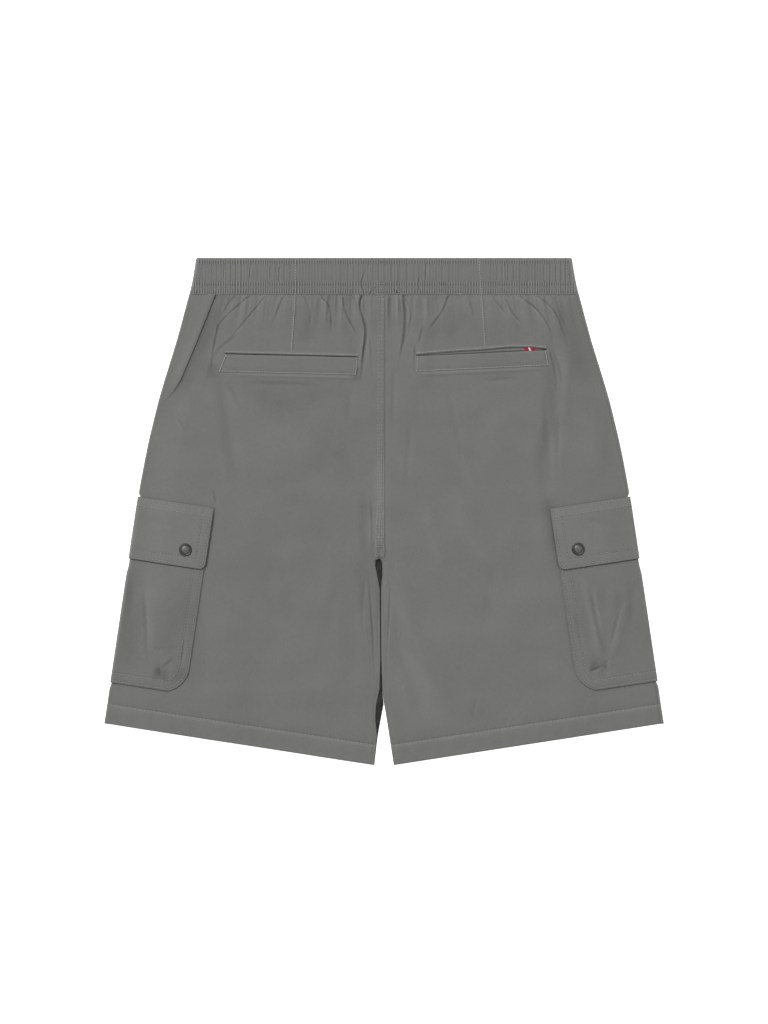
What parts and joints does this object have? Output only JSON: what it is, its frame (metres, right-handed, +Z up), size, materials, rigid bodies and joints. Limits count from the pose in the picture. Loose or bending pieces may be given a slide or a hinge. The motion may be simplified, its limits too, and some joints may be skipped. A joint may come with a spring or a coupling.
{
  "type": "cargo shorts",
  "caption": "Pull-on cargo shorts laid flat, back side up, with a gathered elastic waistband, back welt pockets and flapped, snap-fastened cargo pockets on the sides.",
  "frame": {"origin": "middle of the bottom of the bounding box, on the surface that the shorts lie on", "axes": "+X across the shorts, towards the right of the picture; +Y from the hems towards the waist; +Z up, out of the back of the shorts"},
  "size_m": [0.5606, 0.508, 0.0146],
  "materials": {
    "main_cloth": "matt plain weave",
    "tab_cloth": "woven tape",
    "snap_metal": "dark satin"
  },
  "bodies": {
    "root": {"waistband": "main_cloth", "back_left": "main_cloth", "back_right": "main_cloth", "front_left": "main_cloth", "front_right": "main_cloth", "welt_left": "main_cloth", "welt_right": "main_cloth", "tab": "tab_cloth", "cargo_pocket_left": "main_cloth", "cargo_pocket_right": "main_cloth", "cargo_flap_left": "main_cloth", "cargo_flap_right": "main_cloth", "snap_left": "snap_metal", "snap_right": "snap_metal"}
  },
  "joints": []
}
